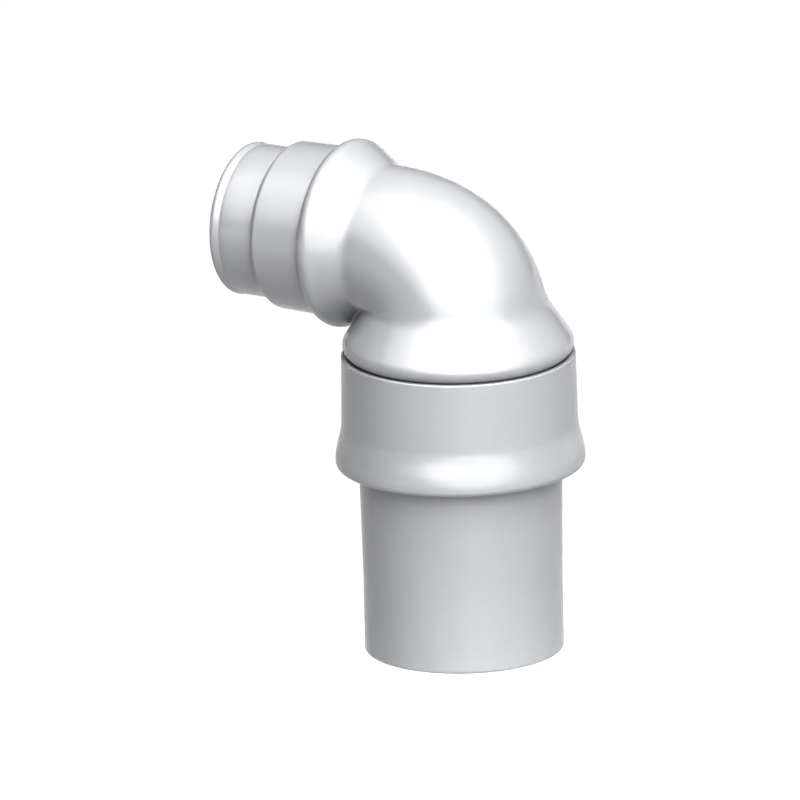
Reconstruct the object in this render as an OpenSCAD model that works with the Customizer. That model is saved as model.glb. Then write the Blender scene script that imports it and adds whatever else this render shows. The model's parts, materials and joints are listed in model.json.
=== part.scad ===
// Push-fit flue elbow: 80 mm outlet spigot, swivelling bend, 60 mm inlet adaptor.
// Millimetres, +Z up. The origin is the centre of the outlet spigot's open end.
// The outlet axis is Z. The inlet arm points along -X at the height arm_z.

/* [Outlet spigot] */
// Outer radius of the straight land at the open end
spigot_tip_r = 39.85; // [39.5:0.05:40]
// Height of the straight land
spigot_land = 30; // [10:1:50]
// Outer radius of the upper part, which slides in the collar
spigot_r = 40.7; // [40.5:0.05:40.7]
// Radius of the bore
spigot_bore_r = 37.5; // [37:0.1:37.6]
// Whole length of the spigot
spigot_len = 100; // [97:0.5:100]
// Height where the drafted lower part ends
spigot_draft_z = 76; // [60:1:76]

/* [Collar] */
// Height of the collar's mouth
mouth_z = 76.6; // [76.3:0.1:76.8]
// Height of the collar's top edge
seam_z = 122.6; // [122.4:0.1:122.7]
// Largest radius, at the bead round the mouth
bead_r = 50; // [49.4:0.1:50.6]
// Rounding of the bead's lower edge
bead_round = 2.1; // [1:0.1:2.8]
// Height of the straight band on the bead
bead_band = 0.9; // [0.4:0.1:1.4]
// Radius where the bead's flare runs into the wall
collar_foot_r = 47.4; // [47.1:0.1:47.8]
// Height where the bead's flare runs into the wall
collar_foot_z = 94.7; // [93:0.1:97]
// Radius at the top edge
collar_top_r = 46.95; // [46.7:0.05:47.2]

/* [Elbow] */
// Radius of the shoulder at its widest
shoulder_r = 46.4; // [46.2:0.1:46.6]
// Height of the shoulder's widest point
shoulder_z = 126.8; // [126.6:0.1:127]
// Rounding of the shoulder's lower edge
shoulder_round = 5; // [4.8:0.1:5.2]
// Slope of the shoulder's cone from the vertical
shoulder_slope = 34; // [33:0.5:35]
// Height of the inlet arm's axis
arm_z = 165.9; // [165.6:0.1:166.2]
// Distance of the bend's turning line from the outlet axis
bend_out = 42.6; // [42.4:0.1:42.8]
// Height of the bend's turning line
bend_z = 129.5; // [129.3:0.1:129.7]
// Squareness of the bend's path (2 is a circle)
bend_square = 2.6; // [2.4:0.1:2.7]
// Outer radius of the bend at its foot
bend_foot_r = 37.75; // [37.5:0.05:37.9]
// Outer radius of the bend at its arm end
bend_arm_r = 29.3; // [29.1:0.1:29.5]
// Wall of the bend
wall = 2.7; // [2.5:0.1:2.8]
// Radius of the bulge at its crest
bulge_r = 38; // [37.8:0.1:38.3]
// Distance of the bulge's crest from the outlet axis
bulge_d = 49.4; // [49.2:0.1:49.6]
// Distance of the bulge's front face from the outlet axis
bulge_face_d = 52.6; // [52.5:0.1:52.7]
// Rounding of the bulge's crest
bulge_round = 4.4; // [4:0.1:4.6]
// Slope of the bulge's back
bulge_slope = 31; // [30:1:32]

/* [Inlet adaptor] */
// Radius of the large ring beside the bulge
ring_base_r = 34.3; // [34.1:0.1:34.5]
// Radius of the large ring at its front
ring_front_r = 33.8; // [33.6:0.1:34]
// Distance of the large ring's front from the outlet axis
ring_front_d = 76.7; // [75:0.1:78]
// Rounding of the large ring's front edge
ring_round = 2.6; // [1.5:0.1:2.8]
// Outer radius of the inlet spigot
inlet_r = 30.45; // [30.3:0.05:30.6]
// Fillet at the root of the inlet spigot
inlet_fillet = 1.5; // [0.8:0.1:1.8]
// Distance of the inlet's open end from the outlet axis
inlet_end_d = 97.4; // [95:0.1:99]
// Height of the raised lip at the open end
inlet_lip = 0.25; // [0.1:0.05:0.25]
// Depth of the dip behind the lip
inlet_dip = 0.4; // [0:0.05:0.45]
// Radius of the inlet's bore
inlet_bore_r = 27.8; // [27.6:0.1:28]

/* [Joints] */
// Radial clearance between parts that turn or slide on each other
running = 0.08; // [0.06:0.01:0.09]
// Radius of the elbow's skirt, which turns in the collar
skirt_r = 43.75; // [43.65:0.05:43.8]
// Radius of the adaptor's shank, which turns in the elbow
shank_r = 31.5; // [31.4:0.05:31.55]

/* [Hidden] */
$fn = 96;
gap = 0.3;                      // clear space between end faces of different bodies
snug = 0.05;                    // clear space between pieces of one body
over = 2;                       // how far a cutter runs past a face
fine = 0.3;                     // small edge break on outer corners
lead = 1;                       // lead-in chamfer on ends that push into a socket

// Collar, inside
counterbore_r = 46;             // holds the lip seal and its retainer
counterbore_top_z = mouth_z + 13.4;
mouth_chamfer = 0.6;
ledge_z = spigot_len + 4.5;     // underside of the stop ledge
ledge_top_z = ledge_z + 2.5;
ledge_r = spigot_bore_r + 0.9;
guide_r = spigot_r + running;   // bore that slides on the spigot
swivel_bore_r = skirt_r + running;
retainer_groove = [78.3, 79.5]; // lower and upper side of each groove
retainer_groove_r = counterbore_r + 0.6;
snap_groove = [110.2, 112.4];
snap_groove_r = 45.3;

// Lip seal and its retainer
retainer_foot_z = mouth_z + 0.4;
seal_foot_z = mouth_z + 4.7;
heel_width = 2.4;
lip_rise = 6.6;                 // height of the lip's tip above the foot of the seal
lip_thick = 1.1;

// Elbow, skirt and shoulder
skirt_foot_z = ledge_top_z + gap;
skirt_bore_r = 38.6;
skirt_bore_top_z = seam_z - 2;  // above it the hollow widens into the bell
skirt_snap = [110.3, 112.3];
skirt_snap_r = 42;
skirt_seal = [115.2, 118.4];
skirt_seal_r = 41.2;
shoulder_foot_a = -50;          // where the shoulder's rounding leaves the skirt
shoulder_peak_z = 147;          // the cone ends inside the bend's wall
bell_peak_z = 140.4;            // the hollow under the cone ends inside the bend's bore

// Elbow, bend
bend_rings = 20;
bend_sides = 56;
bend_rise = arm_z - bend_z;
arm_run = 0.5;                  // straight end of the bend beyond the quarter turn

// Elbow, inlet socket
socket_d = 42;                  // stop face at the bottom of the socket
socket_r = shank_r + running;
socket_snap = [44.9, 46.7];
socket_snap_r = 33.1;
bulge_root_d = 34;              // the bulge starts inside the bend's wall
bulge_brow_a = 46;              // where the crest's rounding meets its front chamfer
bulge_chamfer = 1;

// Adaptor, shank
shank_end_d = socket_d + gap;
shank_snap = [45, 46.6];
shank_snap_r = 30;
shank_seal = [48.2, 50.9];
shank_seal_r = 29.4;
step_turn = 50;                 // how far the large ring's front edge rounds over
lip_width = 2.6;                // straight top of the end lip
lip_ramp = 2.2;                 // slope from the dip up to the lip
dip_run = 1.6;                  // slope from the spigot down to the dip
end_round = 2;

// Points on an arc, anticlockwise when a1 is above a0
function arc(centre, r, a0, a1, steps = 8) =
    [for (i = [0:steps]) let (a = a0 + (a1 - a0) * i / steps) centre + r * [cos(a), sin(a)]];

// Points strictly between p and q on a curve that leaves and arrives parallel to the axis
function flare(p, q, steps = 12) =
    [for (i = [1:steps - 1]) let (t = i / steps, s = t * t * (3 - 2 * t))
        [p.x + (q.x - p.x) * s, p.y + (q.y - p.y) * t]];

// Radius and height of the shoulder's cone: it starts where the rounding reaches its slope
shoulder_c = [shoulder_r - shoulder_round, shoulder_z];
shoulder_top = shoulder_c + shoulder_round * [cos(shoulder_slope), sin(shoulder_slope)];
function cone_r(z) = shoulder_top.x - (z - shoulder_top.y) * tan(shoulder_slope);
function bell_r(z) = cone_r(z) - wall / cos(shoulder_slope);

// Distance from the bend's turning line to the path at the turn angle t
function bend_reach(t) =
    pow(pow(cos(t) / bend_out, bend_square) + pow(sin(t) / bend_rise, bend_square),
        -1 / bend_square);

// One ring of points round the bend, inset from its outer face
function bend_ring(t, inset, shift = [0, 0, 0]) =
    let (r = bend_foot_r + (bend_arm_r - bend_foot_r) * t / 90 - inset)
    [for (i = [0:bend_sides - 1])
        let (a = 360 * i / bend_sides, out = bend_reach(t) + r * cos(a))
        shift + [out * cos(t) - bend_out, r * sin(a), bend_z + out * sin(t)]];

// The quarter bend as one closed solid, with a short straight end towards the arm
module bend_solid(inset) {
    rings = [for (k = [0:bend_rings]) bend_ring(90 * k / bend_rings, inset),
             bend_ring(90, inset, [-arm_run, 0, 0])];
    count = len(rings);
    n = bend_sides;
    sides = [for (k = [0:count - 2], i = [0:n - 1])
        let (j = (i + 1) % n)
        each [[k * n + i, (k + 1) * n + j, k * n + j],
              [k * n + i, (k + 1) * n + i, (k + 1) * n + j]]];
    foot = [for (i = [0:n - 1]) i];
    tip = [for (i = [n - 1:-1:0]) (count - 1) * n + i];
    polyhedron([for (ring = rings) each ring], concat([foot], sides, [tip]), convexity = 4);
}

// A revolved outline of [radius, height] points
module turned(outline) {
    rotate_extrude(convexity = 4) polygon(outline);
}

// Turns a shape that was made along +Z to lie along the inlet arm
module along_arm() {
    translate([0, 0, arm_z]) rotate([0, -90, 0]) children();
}

// A plain ring, as a cutter for a groove or a bore
module groove(r0, r1, span) {
    turned([[r0, span[0]], [r1, span[0]], [r1, span[1]], [r0, span[1]]]);
}

// A flat spring ring with an open gap. It sits in the inner groove, which has the sides
// given by span, and springs out into the outer groove
module snap_ring(inner_groove_r, outer_groove_r, span) {
    opening = 16;
    side_play = 0.15;
    spring_play = 0.2;
    r0 = inner_groove_r + snug;
    r1 = outer_groove_r - spring_play;
    z0 = span[0] + side_play;
    z1 = span[1] - side_play;
    color("silver")
        rotate([0, 0, opening / 2])
            rotate_extrude(angle = 360 - opening)
                polygon([[r0, z0], [r1, z0], [r1, z1], [r0, z1]]);
}

// A round rubber ring that fills a groove
module o_ring(groove_r, bore_r, span) {
    middle = [(groove_r + bore_r) / 2, (span[0] + span[1]) / 2];
    color([0.13, 0.13, 0.14])
        rotate_extrude()
            translate(middle) circle(d = bore_r - groove_r - snug, $fn = 32);
}

// Straight at its open end, drafted above, and parallel again where it slides in the collar
module outlet_spigot() {
    edge = 1.2;
    chamfer = 1.5;
    color("gainsboro") turned(concat(
        [[spigot_bore_r, 0]],
        arc([spigot_tip_r - edge, edge], edge, -90, 0, 6),
        [[spigot_tip_r, spigot_land], [spigot_r, spigot_draft_z],
         [spigot_r, spigot_len - chamfer], [spigot_r - chamfer, spigot_len],
         [spigot_bore_r, spigot_len]]));
}

// Mouth with a bead and a counterbore for the seal; a ledge inside stops the spigot
// from below and carries the elbow's skirt from above
module outlet_collar() {
    band = [bead_r, mouth_z + bead_round + bead_band];
    foot = [collar_foot_r, collar_foot_z];
    color("gainsboro") difference() {
        turned(concat(
            [[counterbore_r + mouth_chamfer, mouth_z]],
            arc([bead_r - bead_round, mouth_z + bead_round], bead_round, -90, 0),
            [band], flare(band, foot), [foot],
            [[collar_top_r, seam_z - fine], [collar_top_r - fine, seam_z],
             [swivel_bore_r + fine, seam_z], [swivel_bore_r, seam_z - fine],
             [swivel_bore_r, ledge_top_z], [ledge_r, ledge_top_z],
             [ledge_r, ledge_z], [guide_r, ledge_z],
             [guide_r, counterbore_top_z], [counterbore_r, counterbore_top_z],
             [counterbore_r, mouth_z + mouth_chamfer]]));
        groove(swivel_bore_r - over, snap_groove_r, snap_groove);
        groove(counterbore_r - over, retainer_groove_r, retainer_groove);
    }
}

// A heel that fills the counterbore and a lip that leans up against the spigot
module spigot_lip_seal() {
    heel_r = counterbore_r - snug;
    heel_top_z = counterbore_top_z - snug;
    tip_z = seal_foot_z + lip_rise;
    pad_z = seal_foot_z + lip_thick;
    root_r = guide_r + 2 * lip_thick;
    color([0.13, 0.13, 0.14]) turned([
        [heel_r, seal_foot_z], [heel_r, heel_top_z],
        [heel_r - heel_width, heel_top_z], [heel_r - heel_width, tip_z - lip_thick],
        [guide_r + lip_thick, tip_z + fine], [guide_r, tip_z],
        [guide_r, tip_z - lip_thick], [root_r, pad_z], [root_r, seal_foot_z]]);
}

// A clip ring with a small bead that snaps into the collar's mouth
module seal_retainer() {
    r = counterbore_r - snug;
    bead_top_r = retainer_groove_r - 2 * snug;
    hole_r = spigot_r + 0.5;
    top_z = seal_foot_z - snug;
    color("gainsboro") turned([
        [hole_r + mouth_chamfer, retainer_foot_z], [hole_r, retainer_foot_z + mouth_chamfer],
        [hole_r, top_z], [r, top_z],
        [r, retainer_groove[1] - snug], [bead_top_r, retainer_groove[1] - 2 * snug],
        [bead_top_r, retainer_groove[0] + 2 * snug], [r, retainer_groove[0] + snug],
        [r, retainer_foot_z]]);
}

// Outside of the skirt, the shoulder and its cone
module shoulder_solid() {
    rounding = arc(shoulder_c, shoulder_round, shoulder_foot_a, shoulder_slope, 12);
    turned(concat(
        [[0, skirt_foot_z], [skirt_r - lead, skirt_foot_z], [skirt_r, skirt_foot_z + lead],
         [skirt_r, rounding[0].y]],
        rounding,
        [[cone_r(shoulder_peak_z), shoulder_peak_z], [0, shoulder_peak_z]]));
}

// Hollow of the skirt, widening into the bell under the shoulder's cone
module shoulder_hollow() {
    rim_z = shoulder_z + 1.2;
    bevel = [0.8, 2.6];
    turned([
        [0, skirt_foot_z - over], [skirt_bore_r, skirt_foot_z - over],
        [skirt_bore_r, skirt_bore_top_z],
        [bell_r(rim_z), rim_z] - bevel, [bell_r(rim_z), rim_z],
        [bell_r(bell_peak_z), bell_peak_z], [0, bell_peak_z]]);
}

// Bulge round the inlet socket, made along +Z
module bulge_solid() {
    centre = [bulge_r - bulge_round, bulge_d];
    crest = arc(centre, bulge_round, -bulge_slope, bulge_brow_a, 12);
    back = crest[0];
    brow = crest[len(crest) - 1];
    root_r = back.x - (back.y - bulge_root_d) * tan(bulge_slope);
    turned(concat(
        [[0, bulge_root_d], [root_r, bulge_root_d]],
        crest,
        [[brow.x - bulge_chamfer, bulge_face_d], [0, bulge_face_d]]));
}

// Skirt, shoulder, bend and bulge in one moulding, hollow all the way through
module elbow_body() {
    color("gainsboro") difference() {
        union() {
            shoulder_solid();
            bend_solid(0);
            along_arm() bulge_solid();
        }
        shoulder_hollow();
        bend_solid(wall);
        along_arm() translate([0, 0, socket_d]) cylinder(r = socket_r, h = bulge_face_d);
        along_arm() groove(socket_r - over, socket_snap_r, socket_snap);
        groove(skirt_snap_r, skirt_r + over, skirt_snap);
        groove(skirt_seal_r, skirt_r + over, skirt_seal);
    }
}

module swivel_o_ring() o_ring(skirt_seal_r, swivel_bore_r, skirt_seal);

module swivel_snap_ring() snap_ring(skirt_snap_r, snap_groove_r, skirt_snap);

// Shank with its grooves, the large ring and the inlet spigot with its lip
module inlet_adaptor() {
    flange_d = bulge_face_d + gap;
    step = arc([ring_front_r - ring_round, ring_front_d - ring_round], ring_round, 0, step_turn);
    root = [inlet_r + inlet_fillet, ring_front_d];
    fillet = arc(root + [0, inlet_fillet], inlet_fillet, 270, 180, 6);
    lip_r = inlet_r + inlet_lip;
    lip_d = inlet_end_d - end_round - lip_width;
    color("gainsboro") along_arm() turned(concat(
        [[inlet_bore_r, shank_end_d], [shank_r - lead, shank_end_d], [shank_r, shank_end_d + lead]],
        [[shank_r, shank_snap[0]], [shank_snap_r, shank_snap[0]],
         [shank_snap_r, shank_snap[1]], [shank_r, shank_snap[1]],
         [shank_r, shank_seal[0]], [shank_seal_r, shank_seal[0]],
         [shank_seal_r, shank_seal[1]], [shank_r, shank_seal[1]]],
        [[shank_r, flange_d], [ring_base_r - fine, flange_d], [ring_base_r, flange_d + fine]],
        step, fillet,
        [[inlet_r, lip_d - dip_run], [inlet_r - inlet_dip, lip_d], [lip_r, lip_d + lip_ramp]],
        arc([lip_r - end_round, inlet_end_d - end_round], end_round, 0, 90, 6),
        [[inlet_bore_r + mouth_chamfer, inlet_end_d],
         [inlet_bore_r, inlet_end_d - mouth_chamfer]]));
}

module inlet_o_ring() along_arm() o_ring(shank_seal_r, socket_r, shank_seal);

module inlet_snap_ring() along_arm() snap_ring(shank_snap_r, socket_snap_r, shank_snap);

outlet_spigot();
outlet_collar();
spigot_lip_seal();
seal_retainer();
elbow_body();
swivel_o_ring();
swivel_snap_ring();
inlet_adaptor();
inlet_o_ring();
inlet_snap_ring();
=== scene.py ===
"""Looks of the push-fit flue elbow: smooth moulded shells, seals, spring rings and studio light."""
import json
import math

import bmesh
import bpy
import numpy as np
from mathutils import Matrix, Vector


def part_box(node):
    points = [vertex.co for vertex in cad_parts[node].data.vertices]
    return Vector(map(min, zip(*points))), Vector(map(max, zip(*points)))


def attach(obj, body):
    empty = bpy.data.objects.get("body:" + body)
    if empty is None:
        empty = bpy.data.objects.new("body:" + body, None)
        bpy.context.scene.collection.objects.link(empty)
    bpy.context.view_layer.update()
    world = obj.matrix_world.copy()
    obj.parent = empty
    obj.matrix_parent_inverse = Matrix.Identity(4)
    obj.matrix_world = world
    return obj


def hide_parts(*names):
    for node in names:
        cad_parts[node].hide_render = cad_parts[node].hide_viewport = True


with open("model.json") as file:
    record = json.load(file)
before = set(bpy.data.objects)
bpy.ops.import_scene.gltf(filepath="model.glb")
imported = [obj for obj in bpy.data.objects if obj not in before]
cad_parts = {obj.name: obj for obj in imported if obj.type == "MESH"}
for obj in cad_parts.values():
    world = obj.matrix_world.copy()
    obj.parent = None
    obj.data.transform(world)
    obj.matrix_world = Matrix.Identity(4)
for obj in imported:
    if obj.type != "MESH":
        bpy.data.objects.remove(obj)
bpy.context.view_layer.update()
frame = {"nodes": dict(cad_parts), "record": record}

MM = 0.001

# ---------------------------------------------------------------- sizes, in metres
# What the frame says
_, SPIGOT_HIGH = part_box("outlet_spigot")
COLLAR_LOW, COLLAR_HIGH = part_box("outlet_collar")
ELBOW_LOW, ELBOW_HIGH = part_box("elbow_body")
INLET_LOW, INLET_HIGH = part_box("inlet_adaptor")
SEAL_LOW, SEAL_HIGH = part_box("spigot_lip_seal")
CLIP_LOW, CLIP_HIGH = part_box("seal_retainer")

SPIGOT_R = SPIGOT_HIGH.x
SPIGOT_LEN = SPIGOT_HIGH.z
BEAD_R = COLLAR_HIGH.x
MOUTH_Z = COLLAR_LOW.z
SEAM_Z = COLLAR_HIGH.z
ARM_Z = (INLET_LOW.z + INLET_HIGH.z) / 2
BULGE_R = ELBOW_HIGH.z - ARM_Z
BULGE_FACE_D = -ELBOW_LOW.x
SKIRT_FOOT_Z = ELBOW_LOW.z
SHOULDER_R = ELBOW_HIGH.x
RING_BASE_R = INLET_HIGH.z - ARM_Z
INLET_END_D = -INLET_LOW.x
SHANK_END_D = -INLET_HIGH.x

# Outlet spigot
SPIGOT_TIP_R = 39.85 * MM
SPIGOT_LAND = 30 * MM
SPIGOT_DRAFT_Z = 76 * MM
SPIGOT_BORE_R = 37.5 * MM

# Collar
BEAD_ROUND = 2.1 * MM
BEAD_BAND = 0.9 * MM
COLLAR_FOOT_R = 47.4 * MM
COLLAR_FOOT_Z = 94.7 * MM
COLLAR_TOP_R = 46.95 * MM
COUNTERBORE_R = 46 * MM
SWIVEL_BORE_R = 43.83 * MM
CLIP_GROOVE_R = COUNTERBORE_R + 0.6 * MM
GUIDE_R = SPIGOT_R + 0.08 * MM
LEDGE_R = SPIGOT_BORE_R + 0.9 * MM
LEDGE_Z = SPIGOT_LEN + 4.5 * MM
LEDGE_TOP_Z = LEDGE_Z + 2.5 * MM
SEAL_TOP_Z = MOUTH_Z + 13.4 * MM

# Elbow
WALL = 2.7 * MM
SKIRT_R = 43.75 * MM
SKIRT_BORE_R = 38.6 * MM
SHOULDER_Z = 126.8 * MM
SHOULDER_ROUND = 5 * MM
SHOULDER_SLOPE = math.radians(34)
SHOULDER_FOOT_A = math.radians(-50)
BEND_OUT = 42.6 * MM
BEND_Z = 129.5 * MM
BEND_SQUARE = 2.6
BEND_FOOT_R = 37.75 * MM
BEND_ARM_R = 29.3 * MM
BULGE_D = 49.4 * MM
BULGE_ROUND = 4.4 * MM
BULGE_SLOPE = math.radians(31)
BULGE_FRONT_A = math.radians(46)
SOCKET_D = 42 * MM
SOCKET_R = 31.58 * MM

# Inlet adaptor
RING_FRONT_R = 33.8 * MM
RING_FRONT_D = 76.7 * MM
RING_ROUND = 2.6 * MM
INLET_R = 30.45 * MM
INLET_FILLET = 1.5 * MM
INLET_BORE_R = 27.8 * MM
SHANK_R = 31.5 * MM

# The raised lip round the inlet's open end, and the dip behind it
LIP_RISE = 0.25 * MM
LIP_WIDTH = 4.6 * MM  # from the end to the bottom of the dip
LIP_RAMP = 2.2 * MM  # slope from the dip up to the lip
DIP_DEPTH = 0.4 * MM
DIP_RUN = 1.6 * MM  # slope from the plain part down to the dip
END_ROUND = 2 * MM

# Grooves: the radius cut to, and the span along the axis, from the side that the outline meets first
CLIP_GROOVE = (79.5 * MM, 78.3 * MM)
COLLAR_SNAP_R = 45.3 * MM
COLLAR_SNAP = (112.4 * MM, 110.2 * MM)
SKIRT_SNAP_R = 42 * MM
SKIRT_SNAP = (110.3 * MM, 112.3 * MM)
SKIRT_SEAL_R = 41.2 * MM
SKIRT_SEAL = (115.2 * MM, 118.4 * MM)
SHANK_SNAP_R = 30 * MM
SHANK_SNAP = (45 * MM, 46.6 * MM)
SHANK_SEAL_R = 29.4 * MM
SHANK_SEAL = (48.2 * MM, 50.9 * MM)
SOCKET_SNAP_R = 33.1 * MM
SOCKET_SNAP = (46.7 * MM, 44.9 * MM)

# Fillets where the elbow's shapes run into each other
SHOULDER_BLEND = 1.6 * MM
BULGE_BLEND = 1.6 * MM
INNER_BLEND = 1.2 * MM

# Edges that several pieces share
LEAD = 1 * MM  # chamfer that leads a plug into its socket
MOUTH_CHAMFER = 0.6 * MM
FINE_CHAMFER = 0.3 * MM
MOULD_ROUND = 0.12 * MM  # what a mould leaves on a sharp corner

TURN_STEPS = 224  # points round each revolved shell
BEND_STEPS = 96  # rings through the bend's quarter turn
PROFILE_STEPS = 24  # points along each curve that shows in the outline


# ---------------------------------------------------------------- outlines
SHARP_CORNER = math.radians(24)  # corners that turn less stay as they are
ROUND_STEPS = 4
LARGEST_CUT = 0.45  # share of a side that one corner's round may take
LONGEST_RUN = 4 * MM


def arc(centre, radius, start, end, steps=10):
    """Points on an arc, from one angle to another, in radians."""
    angles = np.linspace(start, end, steps + 1)
    return [(centre[0] + radius * math.cos(a), centre[1] + radius * math.sin(a)) for a in angles]


def flare(start, end):
    """Points strictly between two places on a curve that leaves and arrives parallel to the axis."""
    points = []
    for t in np.linspace(0, 1, PROFILE_STEPS + 1)[1:-1]:
        ease = t * t * (3 - 2 * t)
        points.append((start[0] + (end[0] - start[0]) * ease, start[1] + (end[1] - start[1]) * t))
    return points


def softened(outline, radius, closed=True):
    """The outline with a small round on every sharp corner. An open one keeps its ends."""
    points = [Vector(p) for p in outline]
    result = []
    for i, here in enumerate(points):
        if not closed and i in (0, len(points) - 1):
            result.append(tuple(here))
            continue
        before, after = points[i - 1], points[(i + 1) % len(points)]
        back, ahead = before - here, after - here
        turn = math.pi - back.angle(ahead)
        if turn < SHARP_CORNER:
            result.append(tuple(here))
            continue
        cut = min(radius * math.tan(turn / 2), back.length * LARGEST_CUT, ahead.length * LARGEST_CUT)
        start, end = here + back.normalized() * cut, here + ahead.normalized() * cut
        for t in np.linspace(0, 1, ROUND_STEPS + 1):
            result.append(tuple(start * (1 - t) ** 2 + here * 2 * t * (1 - t) + end * t * t))
    return result


def subdivided(outline, closed=True):
    """The outline with its long straight runs cut into shorter ones."""
    following = outline[1:] + outline[:1] if closed else outline[1:]
    result = []
    for here, after in zip(outline, following):
        pieces = max(1, math.ceil(math.dist(here, after) / LONGEST_RUN))
        for k in range(pieces):
            t = k / pieces
            result.append((here[0] + (after[0] - here[0]) * t, here[1] + (after[1] - here[1]) * t))
    return result if closed else result + [outline[-1]]


# ---------------------------------------------------------------- meshes
def ring_mesh(name, rings):
    """A closed shell through rings of points, the last ring joined to the first."""
    count, around = len(rings), len(rings[0])
    vertices = np.concatenate(rings)
    faces = []
    for k in range(count):
        nxt = (k + 1) % count
        for i in range(around):
            j = (i + 1) % around
            faces.append((k * around + i, k * around + j, nxt * around + j, nxt * around + i))
    mesh = bpy.data.meshes.new(name)
    mesh.from_pydata(vertices.tolist(), [], faces)
    work = bmesh.new()
    work.from_mesh(mesh)
    bmesh.ops.recalc_face_normals(work, faces=work.faces)
    work.to_mesh(mesh)
    work.free()
    mesh.shade_smooth()
    piece = bpy.data.objects.new(name, mesh)
    bpy.context.scene.collection.objects.link(piece)
    weighted = piece.modifiers.new("even_shading", "WEIGHTED_NORMAL")
    weighted.keep_sharp = True
    return piece


TURN_ANGLES = np.linspace(0, 2 * math.pi, TURN_STEPS, endpoint=False)
TURN_COS, TURN_SIN = np.cos(TURN_ANGLES), np.sin(TURN_ANGLES)


def outlet_ring(radius, height):
    """A ring of points round the outlet axis. Angle 0 is towards +X."""
    return np.stack([radius * TURN_COS, radius * TURN_SIN, np.full(TURN_STEPS, height)], axis=1)


def arm_ring(radius, distance):
    """A ring of points round the inlet arm's axis. Angle 0 is up, so it follows on from outlet_ring."""
    away = np.full(TURN_STEPS, -distance)
    return np.stack([away, radius * TURN_SIN, ARM_Z + radius * TURN_COS], axis=1)


def turned(name, outline, soft, ring=outlet_ring):
    """A shell revolved from a closed outline of (radius, place along the axis)."""
    points = subdivided(softened(outline, soft))
    return ring_mesh(name, [ring(r, h) for r, h in points])


def grooved(wall_r, groove_r, span):
    """Four outline points that cut a square groove into a wall, from span's first end to its last."""
    return [(wall_r, span[0]), (groove_r, span[0]), (groove_r, span[1]), (wall_r, span[1])]


# ---------------------------------------------------------------- the plain revolved pieces
def make_spigot():
    """The outlet tube: rounded at its open end, drafted, and chamfered inside the collar."""
    edge = 1.2 * MM
    chamfer = 1.5 * MM
    return turned("outlet_spigot_shell", [
        (SPIGOT_BORE_R, 0), *arc((SPIGOT_TIP_R - edge, edge), edge, -math.pi / 2, 0),
        (SPIGOT_TIP_R, SPIGOT_LAND), (SPIGOT_R, SPIGOT_DRAFT_Z), (SPIGOT_R, SPIGOT_LEN - chamfer),
        (SPIGOT_R - chamfer, SPIGOT_LEN), (SPIGOT_BORE_R, SPIGOT_LEN)], soft=0.25 * MM)


def make_collar():
    """The collar: bead and flare outside; seal pocket, guide, ledge and swivel bore inside."""
    edge = 0.45 * MM
    bead = (BEAD_R, MOUTH_Z + BEAD_ROUND + BEAD_BAND)
    foot = (COLLAR_FOOT_R, COLLAR_FOOT_Z)
    round_centre = (BEAD_R - BEAD_ROUND, MOUTH_Z + BEAD_ROUND)
    return turned("outlet_collar_shell", [
        (COUNTERBORE_R + MOUTH_CHAMFER, MOUTH_Z), *arc(round_centre, BEAD_ROUND, -math.pi / 2, 0),
        bead, *flare(bead, foot), foot,
        (COLLAR_TOP_R, SEAM_Z - edge), (COLLAR_TOP_R - edge, SEAM_Z),
        (SWIVEL_BORE_R + edge, SEAM_Z), (SWIVEL_BORE_R, SEAM_Z - edge),
        *grooved(SWIVEL_BORE_R, COLLAR_SNAP_R, COLLAR_SNAP),
        (SWIVEL_BORE_R, LEDGE_TOP_Z), (LEDGE_R, LEDGE_TOP_Z), (LEDGE_R, LEDGE_Z), (GUIDE_R, LEDGE_Z),
        (GUIDE_R, SEAL_TOP_Z), (COUNTERBORE_R, SEAL_TOP_Z),
        *grooved(COUNTERBORE_R, CLIP_GROOVE_R, CLIP_GROOVE),
        (COUNTERBORE_R, MOUTH_Z + MOUTH_CHAMFER)], soft=MOULD_ROUND)


def make_lip_seal():
    """The lip seal: a heel in the collar's pocket and a lip that leans on the spigot."""
    heel_r, foot_z, top_z = SEAL_HIGH.x, SEAL_LOW.z, SEAL_HIGH.z
    inner_heel_r = heel_r - 2.4 * MM
    lip = 1.1 * MM
    tip_rise = 0.3 * MM
    tip_z = foot_z + 6.6 * MM
    root_r = GUIDE_R + 2 * lip
    return turned("spigot_lip_seal_rubber", [
        (heel_r, foot_z), (heel_r, top_z), (inner_heel_r, top_z), (inner_heel_r, tip_z - lip),
        (GUIDE_R + lip, tip_z + tip_rise), (GUIDE_R, tip_z), (GUIDE_R, tip_z - lip),
        (root_r, foot_z + lip), (root_r, foot_z)], soft=0.3 * MM)


def make_retainer():
    """The ring that clips in under the lip seal, with a bead in the collar's groove."""
    clearance = 0.05 * MM
    bead_slope = 0.05 * MM
    r = COUNTERBORE_R - clearance
    bead_r = CLIP_HIGH.x
    mouth_r = SPIGOT_R + 0.5 * MM
    low, high = CLIP_LOW.z, CLIP_HIGH.z
    bead_high, bead_low = CLIP_GROOVE[0] - clearance, CLIP_GROOVE[1] + clearance
    return turned("seal_retainer_ring", [
        (mouth_r + MOUTH_CHAMFER, low), (mouth_r, low + MOUTH_CHAMFER), (mouth_r, high), (r, high),
        (r, bead_high), (bead_r, bead_high - bead_slope),
        (bead_r, bead_low + bead_slope), (r, bead_low), (r, low)], soft=0.15 * MM)


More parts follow.
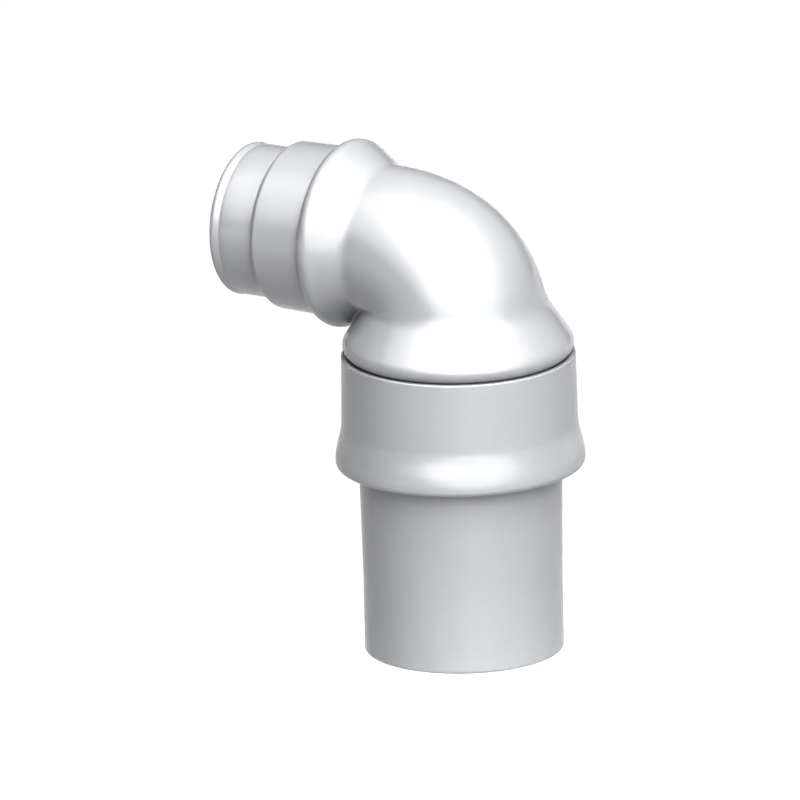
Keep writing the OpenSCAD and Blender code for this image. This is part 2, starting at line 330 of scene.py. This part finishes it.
def make_adaptor():
    """The inlet adaptor: grooved shank, large ring, and small ring with its raised end lip."""
    flange_gap = 0.3 * MM
    ring_round_end = math.radians(50)
    flange_d = BULGE_FACE_D + flange_gap
    ring_centre = (RING_FRONT_R - RING_ROUND, RING_FRONT_D - RING_ROUND)
    fillet_centre = (INLET_R + INLET_FILLET, RING_FRONT_D + INLET_FILLET)
    lip_r = INLET_R + LIP_RISE
    dip_d = INLET_END_D - LIP_WIDTH
    return turned("inlet_adaptor_shell", [
        (INLET_BORE_R, SHANK_END_D), (SHANK_R - LEAD, SHANK_END_D), (SHANK_R, SHANK_END_D + LEAD),
        *grooved(SHANK_R, SHANK_SNAP_R, SHANK_SNAP), *grooved(SHANK_R, SHANK_SEAL_R, SHANK_SEAL),
        (SHANK_R, flange_d), (RING_BASE_R - FINE_CHAMFER, flange_d),
        (RING_BASE_R, flange_d + FINE_CHAMFER),
        *arc(ring_centre, RING_ROUND, 0, ring_round_end),
        *arc(fillet_centre, INLET_FILLET, 1.5 * math.pi, math.pi),
        (INLET_R, dip_d - DIP_RUN), (INLET_R - DIP_DEPTH, dip_d), (lip_r, dip_d + LIP_RAMP),
        *arc((lip_r - END_ROUND, INLET_END_D - END_ROUND), END_ROUND, 0, math.pi / 2),
        (INLET_BORE_R + MOUTH_CHAMFER, INLET_END_D), (INLET_BORE_R, INLET_END_D - MOUTH_CHAMFER)],
        soft=MOULD_ROUND, ring=arm_ring)


# ---------------------------------------------------------------- the elbow's own surface
SHOULDER_C = (SHOULDER_R - SHOULDER_ROUND, SHOULDER_Z)
CONE_FOOT = (SHOULDER_C[0] + SHOULDER_ROUND * math.cos(SHOULDER_SLOPE),
             SHOULDER_C[1] + SHOULDER_ROUND * math.sin(SHOULDER_SLOPE))
CONE_PEAK_Z = 147 * MM  # the cone is cut off here, within the bend
BULGE_C = (BULGE_R - BULGE_ROUND, BULGE_D)
BULGE_BACK = (BULGE_C[0] + BULGE_ROUND * math.cos(BULGE_SLOPE),
              BULGE_C[1] - BULGE_ROUND * math.sin(BULGE_SLOPE))
BULGE_ROOT_D = 34 * MM  # the bulge's back is cut off here, within the bend

# The hollow under the shoulder: how far below the seam the skirt's bore ends, and the hollow's two
# corners, as distances out from the cone's foot and up from the shoulder's widest place
SKIRT_BORE_DROP = 2 * MM
HOLLOW_CORNERS = ((-0.2 * MM, -1.4 * MM), (0.6 * MM, 1.2 * MM))

# Rings through the bend turn about a line that the surface never reaches: outside, in the open
# notch between the shoulder and the bulge, and inside, in the wall between the two hollows.
OUTER_TURN = (-(SHOULDER_R + 1.2 * MM), SHOULDER_Z + 0.7 * MM)
INNER_TURN = (-SOCKET_D, BEND_Z + 1.5 * MM)
RING_GAP = 0.2 * MM  # between the bend's first or last ring and the nearest revolved one, at least

# Each point of such a ring is searched for along a ray from the ring's middle.
RAY_NEAR, RAY_FAR = 5 * MM, 60 * MM
RAY_HALVINGS = 30
SHORT_OF_LINE = 0.998  # share of the way to the turning line that a ray may go
LEVEL_RAY = 1e-3  # a ray that points less than this towards the line never meets it


def radius_at(profile, places):
    """Radius of a profile of (radius, place) points at places along the axis, held beyond its ends."""
    return np.interp(places, [p[1] for p in profile], [p[0] for p in profile])


def shoulder_profile(inset):
    """Outside of the shoulder from its underside up to its cone, or its hollow when inset."""
    if not inset:
        return arc(SHOULDER_C, SHOULDER_ROUND, SHOULDER_FOOT_A, SHOULDER_SLOPE, PROFILE_STEPS)
    cone_r = CONE_FOOT[0] - inset / math.cos(SHOULDER_SLOPE)
    corners = [(cone_r + out, SHOULDER_Z + up) for out, up in HOLLOW_CORNERS]
    return [(SKIRT_BORE_R, SEAM_Z - SKIRT_BORE_DROP), *corners, (cone_r, CONE_FOOT[1])]


def bulge_profile():
    """Outside of the bulge from its back to its front rounding."""
    return arc(BULGE_C, BULGE_ROUND, -BULGE_SLOPE, BULGE_FRONT_A, PROFILE_STEPS)


def path_reach(turn, wide, tall):
    """Distance from a turning line to the bend's squarish path, at an angle through the bend."""
    across, along = np.cos(turn) / wide, np.sin(turn) / tall
    return (across ** BEND_SQUARE + along ** BEND_SQUARE) ** (-1 / BEND_SQUARE)


def bend_gap(points, inset):
    """Distance outside the bend's tube, negative inside it, with both of its ends run on straight."""
    x, y, z = points.T
    dx, dz = x + BEND_OUT, z - BEND_Z
    turn = np.clip(np.arctan2(dz, dx), 0, math.pi / 2)
    outward = np.cos(turn) * dx + np.sin(turn) * dz
    radius = BEND_FOOT_R + (BEND_ARM_R - BEND_FOOT_R) * turn / (math.pi / 2) - inset
    return np.hypot(outward - path_reach(turn, BEND_OUT, ARM_Z - BEND_Z), y) - radius


def shoulder_gap(points, inset):
    """Distance outside the shoulder and its cone, negative inside."""
    x, y, z = points.T
    r = np.hypot(x, y)
    profile = shoulder_profile(inset)
    top_r, top_z = profile[-1]
    cone = (r - top_r) * math.cos(SHOULDER_SLOPE) + (z - top_z) * math.sin(SHOULDER_SLOPE)
    return np.maximum(np.where(z < top_z, r - radius_at(profile, z), cone), z - CONE_PEAK_Z)


def bulge_gap(points):
    """Distance outside the bulge and its sloping back, negative inside."""
    x, y, z = points.T
    r = np.hypot(y, z - ARM_Z)
    back_r, back_d = BULGE_BACK
    back = (r - back_r) * math.cos(BULGE_SLOPE) - (-x - back_d) * math.sin(BULGE_SLOPE)
    body = np.where(-x > back_d, r - radius_at(bulge_profile(), -x), back)
    return np.maximum(body, x + BULGE_ROOT_D)


def blended(a, b, blend):
    """The smaller of two distances, with a fillet of about blend where they meet."""
    share = np.clip(0.5 + 0.5 * (b - a) / blend, 0, 1)
    return b * (1 - share) + a * share - blend * share * (1 - share)


def outer_gap(points):
    """Distance outside the whole elbow, negative inside."""
    body = blended(bend_gap(points, 0), shoulder_gap(points, 0), SHOULDER_BLEND)
    return blended(body, bulge_gap(points), BULGE_BLEND)


def inner_gap(points):
    """Distance outside the elbow's hollow, negative inside."""
    return blended(bend_gap(points, WALL), shoulder_gap(points, WALL), INNER_BLEND)


def bend_rings(gap, turn_line):
    """Rings through the quarter turn: each point is where a ray from the middle leaves the shape."""
    wide, tall = -turn_line[0], ARM_Z - turn_line[1]
    rings = []
    for turn in np.linspace(0, math.pi / 2, BEND_STEPS + 1):
        outward = np.array([math.cos(turn), 0, math.sin(turn)])
        reach = path_reach(turn, wide, tall)
        middle = np.array([turn_line[0], 0, turn_line[1]]) + reach * outward
        rays = TURN_COS[:, None] * outward + TURN_SIN[:, None] * np.array([0, 1, 0])
        # Towards the turning line a ray stops short of it, so that no two rings cross.
        limit = SHORT_OF_LINE * reach / np.maximum(-TURN_COS, LEVEL_RAY)
        near = np.full(TURN_STEPS, RAY_NEAR)
        far = np.minimum(limit, RAY_FAR)
        for _ in range(RAY_HALVINGS):
            half = (near + far) / 2
            outside = gap(middle + rays * half[:, None]) > 0
            far = np.where(outside, half, far)
            near = np.where(outside, near, half)
        rings.append(middle + rays * far[:, None])
    return rings


def open_run(outline):
    """An open outline with its corners rounded, its ends kept and its long runs cut up."""
    return subdivided(softened(outline, MOULD_ROUND, closed=False), closed=False)


def make_elbow():
    """The elbow, as one run of rings: skirt, shoulder, bend, bulge, socket, and back inside."""
    crest_chamfer = 1 * MM
    turn_d, turn_z = -OUTER_TURN[0], OUTER_TURN[1]
    rounding = [p for p in shoulder_profile(0) if p[1] < turn_z - RING_GAP]
    skirt = [(SKIRT_R - LEAD, SKIRT_FOOT_Z), (SKIRT_R, SKIRT_FOOT_Z + LEAD),
             *grooved(SKIRT_R, SKIRT_SNAP_R, SKIRT_SNAP), *grooved(SKIRT_R, SKIRT_SEAL_R, SKIRT_SEAL),
             (SKIRT_R, rounding[0][1]), *rounding]
    crest = [p for p in bulge_profile() if p[1] > turn_d + RING_GAP]
    socket = [*crest, (crest[-1][0] - crest_chamfer, BULGE_FACE_D),
              (SOCKET_R + FINE_CHAMFER, BULGE_FACE_D), (SOCKET_R, BULGE_FACE_D - FINE_CHAMFER),
              *grooved(SOCKET_R, SOCKET_SNAP_R, SOCKET_SNAP), (SOCKET_R, SOCKET_D)]
    bore = [*reversed(shoulder_profile(WALL)), (SKIRT_BORE_R, SKIRT_FOOT_Z)]
    rings = [outlet_ring(r, z) for r, z in open_run(skirt)]
    rings += bend_rings(outer_gap, OUTER_TURN)
    rings += [arm_ring(r, d) for r, d in open_run(socket)]
    rings += bend_rings(inner_gap, INNER_TURN)[::-1]
    rings += [outlet_ring(r, z) for r, z in open_run(bore)]
    return ring_mesh("elbow_body_shell", rings)


# ---------------------------------------------------------------- materials
# A noise pattern's values lie mostly between these
PATTERN_LOW, PATTERN_HIGH = 0.3, 0.7
FLOOR_TONE = (0.86, 0.86, 0.86)


def new_material(name):
    """A node material, its shader, and object coordinates for its patterns."""
    material = bpy.data.materials.new(name)
    material.use_nodes = True
    place = material.node_tree.nodes.new("ShaderNodeTexCoord")
    return material, material.node_tree.nodes["Principled BSDF"], place.outputs["Object"]


def noise(material, place, scale, detail):
    """A noise pattern over the piece. Returns its value."""
    node = material.node_tree.nodes.new("ShaderNodeTexNoise")
    node.inputs["Scale"].default_value = scale
    node.inputs["Detail"].default_value = detail
    material.node_tree.links.new(place, node.inputs["Vector"])
    return node.outputs["Fac"]


def roughened(material, shader, value, low, high):
    """Roughness that a pattern spreads over low to high."""
    node = material.node_tree.nodes.new("ShaderNodeMapRange")
    node.inputs["From Min"].default_value = PATTERN_LOW
    node.inputs["From Max"].default_value = PATTERN_HIGH
    node.inputs["To Min"].default_value = low
    node.inputs["To Max"].default_value = high
    material.node_tree.links.new(value, node.inputs["Value"])
    material.node_tree.links.new(node.outputs["Result"], shader.inputs["Roughness"])


def clouded(material, shader, value, colour, change):
    """A colour that a pattern makes slightly lighter and darker."""
    node = material.node_tree.nodes.new("ShaderNodeValToRGB")
    low, high = node.color_ramp.elements
    low.position, high.position = PATTERN_LOW, PATTERN_HIGH
    low.color = [c * (1 - change) for c in colour] + [1]
    high.color = [min(1, c * (1 + change)) for c in colour] + [1]
    material.node_tree.links.new(value, node.inputs["Fac"])
    material.node_tree.links.new(node.outputs["Color"], shader.inputs["Base Color"])


def bumped(material, shader, value, strength, depth):
    """Fine relief from a pattern."""
    node = material.node_tree.nodes.new("ShaderNodeBump")
    node.inputs["Strength"].default_value = strength
    node.inputs["Distance"].default_value = depth
    material.node_tree.links.new(value, node.inputs["Height"])
    material.node_tree.links.new(node.outputs["Normal"], shader.inputs["Normal"])


def moulded_plastic():
    """Light grey injection-moulded polypropylene: faint clouding, fine grain, small sheen changes."""
    material, shader, place = new_material("moulded_plastic")
    shader.inputs["Specular IOR Level"].default_value = 0.9
    clouds = noise(material, place, scale=38, detail=3)
    clouded(material, shader, clouds, colour=(0.445, 0.448, 0.458), change=0.006)
    sheen = noise(material, place, scale=90, detail=2)
    roughened(material, shader, sheen, low=0.20, high=0.24)
    grain = noise(material, place, scale=420, detail=2)
    bumped(material, shader, grain, strength=0.04, depth=0.03 * MM)
    return material


def seal_rubber():
    """Matt black rubber with a dusty bloom."""
    material, shader, place = new_material("seal_rubber")
    bloom = noise(material, place, scale=90, detail=5)
    clouded(material, shader, bloom, colour=(0.022, 0.022, 0.023), change=0.35)
    sheen = noise(material, place, scale=260, detail=4)
    roughened(material, shader, sheen, low=0.55, high=0.75)
    grain = noise(material, place, scale=2600, detail=3)
    bumped(material, shader, grain, strength=0.15, depth=0.1 * MM)
    return material


def spring_steel():
    """Drawn stainless wire: fine scratches and a bright, slightly uneven face."""
    material, shader, place = new_material("spring_steel")
    shader.inputs["Metallic"].default_value = 1
    tarnish = noise(material, place, scale=300, detail=4)
    clouded(material, shader, tarnish, colour=(0.56, 0.55, 0.53), change=0.08)
    sheen = noise(material, place, scale=900, detail=5)
    roughened(material, shader, sheen, low=0.22, high=0.4)
    scratches = noise(material, place, scale=4000, detail=2)
    bumped(material, shader, scratches, strength=0.1, depth=0.05 * MM)
    return material


def floor_paint():
    """A plain pale studio floor with a barely uneven tone."""
    material, shader, place = new_material("floor_paint")
    shader.inputs["Roughness"].default_value = 0.9
    shader.inputs["Specular IOR Level"].default_value = 0.1
    tone = noise(material, place, scale=3, detail=2)
    clouded(material, shader, tone, colour=FLOOR_TONE, change=0.004)
    return material


# ---------------------------------------------------------------- putting it together
def place_piece(piece, node, material):
    """Puts a shell in a CAD node's stead, on that node's body."""
    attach(piece, BODY_OF[node])
    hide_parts(node)
    piece.data.materials.append(material)


def keep_node(node, material):
    """Keeps a CAD node and gives it a better material."""
    mesh = frame["nodes"][node].data
    mesh.materials.clear()
    mesh.materials.append(material)


BODY_OF = {node: body for body, nodes in frame["record"]["behaviour"]["bodies"].items() for node in nodes}
plastic, rubber, steel = moulded_plastic(), seal_rubber(), spring_steel()
place_piece(make_spigot(), "outlet_spigot", plastic)
place_piece(make_collar(), "outlet_collar", plastic)
place_piece(make_lip_seal(), "spigot_lip_seal", rubber)
place_piece(make_retainer(), "seal_retainer", plastic)
place_piece(make_elbow(), "elbow_body", plastic)
place_piece(make_adaptor(), "inlet_adaptor", plastic)
for ring_node in ("swivel_o_ring", "inlet_o_ring"):
    keep_node(ring_node, rubber)
for ring_node in ("swivel_snap_ring", "inlet_snap_ring"):
    keep_node(ring_node, steel)


# ---------------------------------------------------------------- studio
AZIMUTH = math.radians(31)  # camera's place round the object, from -Y towards +X
ELEVATION = math.radians(16.7)
ROLL = math.radians(1.2)  # the object leans to the left in the picture
VIEW_WIDTH = 320 * MM
AIM_RIGHT = -25.8 * MM  # from the origin to the middle of the view, along the view's own axes
AIM_UP = 98.4 * MM
CAMERA_FAR = 1.5
CLIP_END = 20
FLOOR_HALF = 6.0

# Soft lamps on the object: direction as seen from the camera (right, up, back), strength, apparent
# size in degrees, and what it gives: light on the matt colour or a mirrored highlight
OBJECT_LAMPS = {
    "front_lamp": ((0.12, 0.35, 0.93), 2.35, 40, "matt"),
    "front_softbox": ((0.12, 0.35, 0.93), 1.95, 95, "gloss"),
    "highlight_softbox": ((0.18, 0.50, 0.84), 1.95, 108, "gloss"),
    "upper_left_softbox": ((-0.35, 0.60, 0.72), 1.85, 90, "gloss"),
    "high_lamp": ((0.10, 0.72, 0.68), 2.9, 50, "matt"),
    "right_lamp": ((0.45, 0.30, 0.84), 0.3, 40, "matt"),
    "top_fill": ((0.10, 0.98, 0.17), 1.6, 60, "matt"),
    "left_fill": ((-0.62, 0.25, -0.74), 0.3, 15, "matt"),
    "right_fill": ((0.62, 0.25, -0.74), 0.4, 15, "matt"),
    "back_fill": ((0.0, 0.30, -0.95), 2.6, 25, "matt"),
}
FLOOR_LIGHT, FLOOR_SOFTNESS = 3.3, 60
WORLD_LIGHT = 0.15
PICTURE_GAMMA = 0.5  # a steep tone, as on a catalogue page


def view_axes():
    """The camera's right, up and backward directions, with its roll."""
    back = Vector((math.sin(AZIMUTH) * math.cos(ELEVATION),
                   -math.cos(AZIMUTH) * math.cos(ELEVATION), math.sin(ELEVATION)))
    right = Vector((math.cos(AZIMUTH), math.sin(AZIMUTH), 0))
    up = back.cross(right)
    rolled_right = right * math.cos(ROLL) - up * math.sin(ROLL)
    rolled_up = right * math.sin(ROLL) + up * math.cos(ROLL)
    return rolled_right, rolled_up, back


CAM_RIGHT, CAM_UP, CAM_BACK = view_axes()


def from_camera(right, up, back):
    """A direction given as seen from the camera, in the scene's axes."""
    return (CAM_RIGHT * right + CAM_UP * up + CAM_BACK * back).normalized()


def add_camera():
    """A parallel-projection camera at the photograph's angle."""
    data = bpy.data.cameras.new("camera")
    data.type = "ORTHO"
    data.ortho_scale = VIEW_WIDTH
    data.clip_end = CLIP_END
    camera = bpy.data.objects.new("camera", data)
    camera.location = CAM_RIGHT * AIM_RIGHT + CAM_UP * AIM_UP + CAM_BACK * CAMERA_FAR
    camera.rotation_mode = "QUATERNION"
    axes = Matrix((CAM_RIGHT, CAM_UP, CAM_BACK)).transposed()
    camera.rotation_quaternion = axes.to_quaternion()
    bpy.context.scene.collection.objects.link(camera)
    bpy.context.scene.camera = camera


def add_sun(name, towards, strength, softness, receivers, blockers):
    """A distant lamp that lights only its receivers and is shadowed only by its blockers.

    towards is the direction to it, softness its apparent size in degrees.
    """
    data = bpy.data.lights.new(name, "SUN")
    data.energy = strength
    data.angle = math.radians(softness)
    lamp = bpy.data.objects.new(name, data)
    lamp.rotation_mode = "QUATERNION"
    lamp.rotation_quaternion = towards.to_track_quat("Z", "Y")
    lamp.light_linking.receiver_collection = receivers
    lamp.light_linking.blocker_collection = blockers
    bpy.context.scene.collection.objects.link(lamp)
    return lamp


def light_group(name, objects):
    """A named set of objects for lamps to be linked to."""
    group = bpy.data.collections.new(name)
    for obj in objects:
        group.objects.link(obj)
    return group


def add_floor():
    """A large plain floor under the object."""
    corners = [(x * FLOOR_HALF, y * FLOOR_HALF, 0) for x, y in ((-1, -1), (1, -1), (1, 1), (-1, 1))]
    mesh = bpy.data.meshes.new("floor")
    mesh.from_pydata(corners, [], [(0, 1, 2, 3)])
    floor = bpy.data.objects.new("floor", mesh)
    mesh.materials.append(floor_paint())
    bpy.context.scene.collection.objects.link(floor)
    return floor


def add_world():
    """An even white surround."""
    world = bpy.data.worlds.new("studio")
    world.use_nodes = True
    background = world.node_tree.nodes["Background"]
    background.inputs["Color"].default_value = (1, 1, 1, 1)
    background.inputs["Strength"].default_value = WORLD_LIGHT
    bpy.context.scene.world = world


bpy.context.scene.view_settings.view_transform = "Standard"
bpy.context.scene.view_settings.gamma = PICTURE_GAMMA
add_camera()
add_world()
pieces = [o for o in bpy.data.objects if o.type == "MESH"]
object_group = light_group("lit_object", pieces)
# The collar is left out, so that its bead throws no hard shade on the spigot below it.
shade_group = light_group("throws_shade", [o for o in pieces if "collar" not in o.name])
# The floor has a lamp of its own, which the object doesn't shade.
floor_group = light_group("lit_floor", [add_floor()])
for lamp_name, (towards, strength, softness, gives) in OBJECT_LAMPS.items():
    lamp = add_sun(lamp_name, from_camera(*towards), strength, softness, object_group, shade_group)
    lamp.visible_diffuse = gives == "matt"
    lamp.visible_glossy = gives == "gloss"
add_sun("floor_light", Vector((0, 0, 1)), FLOOR_LIGHT, FLOOR_SOFTNESS, floor_group, floor_group)
